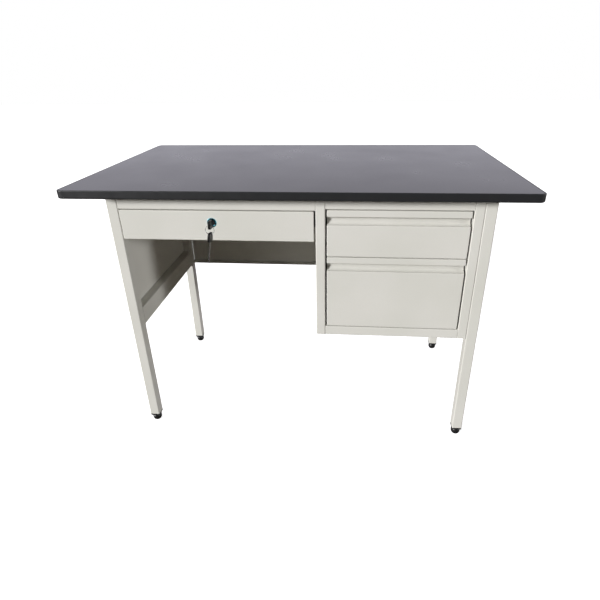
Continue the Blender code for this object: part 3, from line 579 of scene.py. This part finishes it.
low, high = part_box("key_ring")
middle = (low + high) / 2
wire_radius = 0.00045
turn_pitch = 0.00095
ring_radius = (high.x - low.x) / 2 - (high.y - low.y) / 2
turn = np.linspace(0.0, 3.9 * np.pi, 120)[:, None]
wire = np.linspace(0, 2 * np.pi, 10, endpoint=False)
reach = ring_radius + wire_radius * np.cos(wire)
rings = np.empty((len(turn), len(wire), 3))
rings[..., 0] = middle.x + reach * np.sin(turn)
rings[..., 1] = middle.y + turn_pitch * (turn / (2 * np.pi) - 1) + wire_radius * np.sin(wire)
rings[..., 2] = middle.z + reach * np.cos(turn)
fitted(skinned("split_ring", rings[:, ::-1]), bright_nickel, "nickel_steel", "key_ring", "key_ring")


# Desktop: particleboard with high-pressure laminate glued on top and a plain backing sheet underneath, so
# that it stays flat. A plastic moulding closes the edge all round, more rounded below than above.
def laminate_sheet():
    """Dark high-pressure laminate with a suede finish: a brown-grey paper, a soft cloudiness about 120 mm
    across, flecks of 1.5 mm, and a pressed texture too fine to see but for the way it spreads the gloss."""
    sheet = bpy.data.materials.new("high_pressure_laminate")
    sheet.use_nodes = True
    inputs = sheet.node_tree.nodes["Principled BSDF"].inputs
    place = add(sheet, "TexCoord").outputs["Object"]
    cloud = add(sheet, "TexNoise", {"Vector": place, "Scale": 1 / 0.120, "Detail": 4.0}).outputs["Fac"]
    fibre = add(sheet, "Mapping", {"Vector": place, "Scale": (0.15, 1.0, 1.0)}).outputs[0]
    fleck = add(sheet, "TexNoise", {"Vector": fibre, "Scale": 1 / 0.0015, "Detail": 3.0}).outputs["Fac"]
    share = add(sheet, "Math", {0: cloud, 1: fleck}, operation="MULTIPLY").outputs[0]
    share = add(sheet, "MapRange", {"Value": share, "From Min": 0.12, "From Max": 0.38}).outputs[0]
    tone = add(sheet, "Mix", {0: share, 6: linear("#36333a"), 7: linear("#423f47")}, data_type="RGBA")
    sheet.node_tree.links.new(tone.outputs[2], inputs["Base Color"])
    gloss = add(sheet, "MapRange", {"Value": cloud, "To Min": 0.24, "To Max": 0.34}).outputs[0]
    sheet.node_tree.links.new(gloss, inputs["Roughness"])
    suede = add(sheet, "TexNoise", {"Vector": place, "Scale": 1 / 0.0012, "Detail": 2.0}).outputs["Fac"]
    bump = add(sheet, "Bump", {"Strength": 0.15, "Distance": 0.0002, "Height": suede})
    sheet.node_tree.links.new(bump.outputs[0], inputs["Normal"])
    return sheet


def pressed_board(name, dark, pale, chip):
    """Wood fibre pressed with resin: chips or fibres of this size in metres, between two browns, and matt."""
    board = bpy.data.materials.new(name)
    board.use_nodes = True
    inputs = board.node_tree.nodes["Principled BSDF"].inputs
    inputs["Roughness"].default_value = 0.7
    place = add(board, "TexCoord").outputs["Object"]
    chips = add(board, "TexVoronoi", {"Vector": place, "Scale": 1 / chip}).outputs["Color"]
    tone = add(board, "Mix", {0: chips, 6: linear(dark), 7: linear(pale)}, data_type="RGBA")
    board.node_tree.links.new(tone.outputs[2], inputs["Base Color"])
    bump = add(board, "Bump", {"Strength": 0.2, "Distance": 0.0002, "Height": chips})
    board.node_tree.links.new(bump.outputs[0], inputs["Normal"])
    return board


sheet_thickness = 0.0008
low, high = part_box("desktop")
band_low, band_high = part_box("edge_band")
corner_radius = 0.014
board_outline = rectangle(low, high, corner_radius - (low.x - band_low.x))
layers = (
    ("laminate_top", high.z - sheet_thickness, high.z, laminate_sheet()),
    ("board_core", low.z + sheet_thickness, high.z - sheet_thickness,
     pressed_board("particleboard", "#8a6d4a", "#b8996e", 0.003)),
    ("backing_sheet", low.z, low.z + sheet_thickness,
     pressed_board("kraft_backing", "#3b342e", "#463d35", 0.0012)),
)
for layer, bottom, top, layer_finish in layers:
    piece = carried(layer, board_outline, "Z", bottom, top, 0.0001)
    fitted(piece, layer_finish, "laminate_top", "desk", *(["desktop"] if layer == "laminate_top" else []))
band_plastic = moulded_plastic("extruded_pvc", "#232426", 0.30)
band_thickness = 0.004
outline = rectangle(band_low, band_high, corner_radius)
profile = bent(
    [(0, band_low.z), (0, band_high.z), (band_thickness, band_high.z), (band_thickness, band_low.z)],
    [0.0035, 0.0015, 0.0002, 0.0002], 8,
)
rings = np.empty((len(profile), len(outline), 3))
rings[..., :2] = outline + profile[:, :1, None] * mitred(outline)
rings[..., 2] = profile[:, 1:]
fitted(skinned("edge_moulding", rings, looped=True), band_plastic, "edge_moulding", "desk", "edge_band")


# Fixings: zinc-plated screws with cross-recessed pan heads hold the desktop from under the rear rail, and the
# slides to the drawers' sides.
def pan_head(name, centre, axis, out, radius=0.0038, height=0.0021):
    """A screw head on a polar grid: height * sqrt(1 - (r / radius)^2 * 0.8), less a cross recess whose depth
    falls from the middle to the ends of its arms. out is +1 or -1, the way it faces along its axis."""
    r = np.linspace(0.02, 1, 14)[:, None]
    a = np.linspace(0, 2 * np.pi, 48, endpoint=False)
    arm = np.minimum(abs(np.cos(a)), abs(np.sin(a))) * r
    slot = np.clip(1 - arm / 0.14, 0, 1) * np.clip(1 - r / 0.62, 0, 1)
    rise = height * (np.sqrt(1 - 0.8 * r ** 2) - 0.7 * np.clip(2.5 * slot, 0, 1))
    u, v, w = {"X": (1, 2, 0), "Y": (2, 0, 1), "Z": (0, 1, 2)}[axis]
    rings = np.empty((len(r) + 1, len(a), 3))
    edge = np.concatenate([r, [[1.0]]])
    rings[..., u] = centre[u] + radius * edge * np.cos(a)
    rings[..., v] = centre[v] + radius * edge * np.sin(a)
    rings[..., w] = centre[w] + out * np.concatenate([rise, np.zeros((1, len(a)))])
    return skinned(name, rings if out < 0 else rings[::-1])


low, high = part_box("rear_top_rail")
for number, x in enumerate(np.linspace(low.x + 0.06, high.x - 0.06, 4), 1):
    screw = pan_head(f"top_screw_{number}", (x, (low.y + high.y) / 2, low.z), "Z", -1)
    fitted(screw, zinc, "zinc_steel", "desk")
for drawer in ("wide_drawer", "upper_drawer", "lower_drawer"):
    for side, out in (("left", 1), ("right", -1)):
        low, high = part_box(f"{drawer}_{side}_slide")
        wall_low, wall_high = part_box(f"{drawer}_{side}_side")
        wall_x = wall_low.x + panel_sheet if out > 0 else wall_high.x - panel_sheet
        for number, y in enumerate(np.linspace(low.y + 0.03, high.y - 0.03, 3), 1):
            screw = pan_head(f"{drawer}_{side}_screw_{number}", (wall_x, y, (low.z + high.z) / 2), "X", out)
            fitted(screw, zinc, "zinc_steel", drawer)


# The studio: a pale floor that glows a little, so that it shows white, and is hidden from indirect rays. The
# room is dark in front and bright behind, and two low lamps stand to the left and right of the front.
floor_paint = bpy.data.materials.new("pale_floor")
floor_paint.use_nodes = True
inputs = floor_paint.node_tree.nodes["Principled BSDF"].inputs
inputs["Roughness"].default_value = 0.8
inputs["Emission Color"].default_value = linear("#ffffff")
inputs["Emission Strength"].default_value = 0.85
place = add(floor_paint, "TexCoord").outputs["Object"]
cloud = add(floor_paint, "TexNoise", {"Vector": place, "Scale": 2.0, "Detail": 2.0}).outputs["Fac"]
tone = add(floor_paint, "Mix", {0: cloud, 6: linear("#f0f0f0"), 7: linear("#f4f4f4")}, data_type="RGBA")
floor_paint.node_tree.links.new(tone.outputs[2], inputs["Base Color"])
floor_half = 12.0
grid = np.linspace(-floor_half, floor_half, 3)
mesh = bpy.data.meshes.new("floor")
corners = [(x, y, cad_low.z) for y in grid for x in grid]
mesh.from_pydata(corners, [], [(0, 1, 4, 3), (1, 2, 5, 4), (3, 4, 7, 6), (4, 5, 8, 7)])
mesh.materials.append(floor_paint)
floor = bpy.data.objects.new("floor", mesh)
bpy.context.scene.collection.objects.link(floor)
floor.visible_diffuse = False
floor.visible_glossy = False

world = bpy.data.worlds.new("room")
world.use_nodes = True
bpy.context.scene.world = world
room = world.node_tree
background = room.nodes["Background"]
direction = add(world, "TexCoord").outputs["Generated"]
parts = add(world, "SeparateXYZ", {0: direction}).outputs
upward = add(world, "MapRange", {"Value": parts["Z"], "From Min": -0.05, "From Max": 0.02}).outputs[0]
behind = add(world, "MapRange", {"Value": parts["Y"], "From Min": -0.10, "From Max": 0.10}).outputs[0]
overhead = add(world, "MapRange", {"Value": parts["Z"], "From Min": 0.08, "From Max": 0.34}).outputs[0]
low_backdrop = (1.40, 1.38, 1.56, 1)
high_backdrop = (0.42, 0.42, 0.44, 1)
front_wall = (0.03, 0.03, 0.03, 1)
ground = (0.045, 0.032, 0.022, 1)
backdrop = add(world, "Mix", {0: overhead, 6: low_backdrop, 7: high_backdrop}, data_type="RGBA").outputs[2]
walls = add(world, "Mix", {0: behind, 6: front_wall, 7: backdrop}, data_type="RGBA").outputs[2]
light = add(world, "Mix", {0: upward, 6: ground, 7: walls}, data_type="RGBA").outputs[2]
seen = add(world, "LightPath").outputs["Is Camera Ray"]
shown = add(world, "Mix", {0: seen, 6: light, 7: (1.0, 1.0, 1.0, 1.0)}, data_type="RGBA").outputs[2]
room.links.new(shown, background.inputs["Color"])
background.inputs["Strength"].default_value = 1.0


def lamp(name, kind, energy, heading, elevation, **settings):
    """A lamp whose light comes from this heading, degrees to the right of the front, and elevation."""
    light = bpy.data.lights.new(name, kind)
    light.energy = energy
    for setting, value in settings.items():
        setattr(light, setting, value)
    lamp_object = bpy.data.objects.new(name, light)
    turn = Matrix.Rotation(np.radians(heading), 4, "Z") @ Matrix.Rotation(np.radians(90 - elevation), 4, "X")
    lamp_object.matrix_world = turn
    bpy.context.scene.collection.objects.link(lamp_object)
    return lamp_object


softboxes = [
    lamp("left_softbox", "SUN", 4.5, -50, 13.4, angle=np.radians(8)),
    lamp("right_softbox", "SUN", 1.15, 70, 7.4, angle=np.radians(8)),
]
# The lamps pass through the lock and the keys, so that they throw no shadow across the drawer.
small_pieces = bpy.data.collections.new("lock_and_keys")
for piece in bpy.data.objects:
    if piece.name.startswith(("lock_", "spare_key", "split_ring")) and piece.type == "MESH":
        small_pieces.objects.link(piece)
for entry in small_pieces.collection_objects:
    entry.light_linking.link_state = "EXCLUDE"
for softbox in softboxes:
    softbox.light_linking.blocker_collection = small_pieces

camera_data = bpy.data.cameras.new("camera")
camera_data.sensor_width = 36.0
camera_data.lens = 27.29
camera_data.shift_x = -0.0196
camera_data.shift_y = -0.0322
camera = bpy.data.objects.new("camera", camera_data)
camera_heading = 5.06
camera_down = 25.61
camera_roll = -0.89
place = Matrix.Translation((0.1296, -1.2914, 1.0053))
heading = Matrix.Rotation(np.radians(camera_heading), 4, "Z")
tilt = Matrix.Rotation(np.radians(90 - camera_down), 4, "X")
roll = Matrix.Rotation(np.radians(camera_roll), 4, "Z")
camera.matrix_world = place @ heading @ tilt @ roll
bpy.context.scene.collection.objects.link(camera)
bpy.context.scene.camera = camera
bpy.context.scene.view_settings.view_transform = "Standard"
